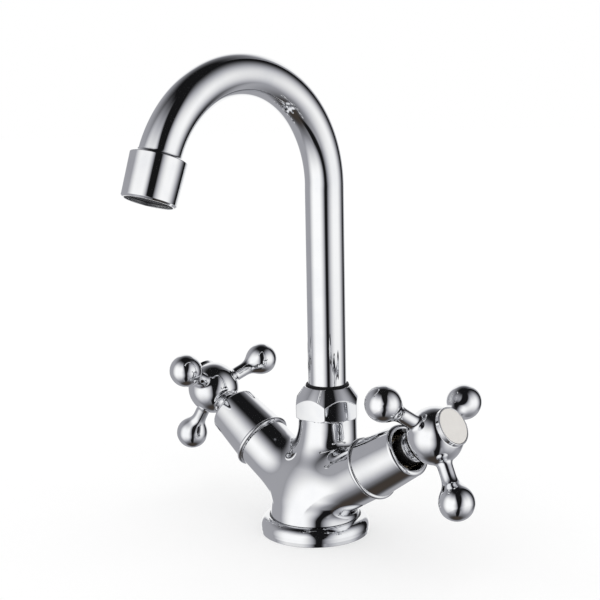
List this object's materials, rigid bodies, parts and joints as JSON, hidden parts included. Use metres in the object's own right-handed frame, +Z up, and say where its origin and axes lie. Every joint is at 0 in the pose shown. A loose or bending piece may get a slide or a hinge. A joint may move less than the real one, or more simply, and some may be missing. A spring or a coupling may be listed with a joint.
{
  "type": "basin mixer tap",
  "caption": "Deck-mounted basin mixer with a swivel gooseneck spout, an angled valve arm on each side and round cross handles with ball ends.",
  "frame": {"origin": "middle of the tap's underside, at the mouth of the fixing stud's hole, on the basin's deck", "axes": "+Z up, the spout points to -Y, the hot valve is on -X and the cold valve on +X"},
  "size_m": [0.1956, 0.149, 0.2315],
  "materials": {
    "chrome_casting": "polished",
    "chrome_tube": "polished",
    "chrome_handle": "polished",
    "chrome_trim": "polished",
    "brass": "machined",
    "rubber": "matt",
    "fibre": "matt",
    "slip_plastic": "smooth",
    "nylon": "matt",
    "aerator_plastic": "smooth",
    "steel": "drawn",
    "disc_ceramic": "lapped",
    "index_white": "smooth"
  },
  "bodies": {
    "root": {"body_casting": "chrome_casting", "base_ring": "chrome_trim", "base_gasket": "rubber", "spout_nut": "chrome_trim", "slip_ring": "slip_plastic", "thrust_washer": "nylon", "hot_shroud": "chrome_trim", "hot_cartridge": "brass", "hot_seat_seal": "rubber", "hot_fixed_disc": "disc_ceramic", "hot_bonnet_washer": "fibre", "cold_shroud": "chrome_trim", "cold_cartridge": "brass", "cold_seat_seal": "rubber", "cold_fixed_disc": "disc_ceramic", "cold_bonnet_washer": "fibre"},
    "spout": {"spout_tube": "chrome_tube", "spout_tail": "brass", "spout_seals": "rubber", "outlet_nose": "chrome_trim", "aerator_washer": "rubber", "aerator_body": "aerator_plastic", "aerator_screen": "steel"},
    "hot_valve": {"hot_moving_disc": "disc_ceramic", "hot_spindle": "brass", "hot_spindle_seals": "rubber", "hot_circlip": "steel", "hot_handle": "chrome_handle", "hot_handle_screw": "steel", "hot_index_cup": "chrome_trim", "hot_index_disc": "index_white"},
    "cold_valve": {"cold_moving_disc": "disc_ceramic", "cold_spindle": "brass", "cold_spindle_seals": "rubber", "cold_circlip": "steel", "cold_handle": "chrome_handle", "cold_handle_screw": "steel", "cold_index_cup": "chrome_trim", "cold_index_disc": "index_white"}
  },
  "joints": [
    {"name": "spout_swivel", "type": "hinge", "parent": "root", "child": "spout", "pos_m": [0, 0.01035, 0.056], "axis": [0, 0, 1], "continuous": true},
    {"name": "hot_turn", "type": "hinge", "parent": "root", "child": "hot_valve", "pos_m": [0, 0, 0.01605], "axis": [-0.8548, 0.0172, 0.5186], "range_deg": [0, 90]},
    {"name": "cold_turn", "type": "hinge", "parent": "root", "child": "cold_valve", "pos_m": [0, 0, 0.01605], "axis": [0.8548, 0.0172, 0.5186], "range_deg": [0, 90]}
  ]
}
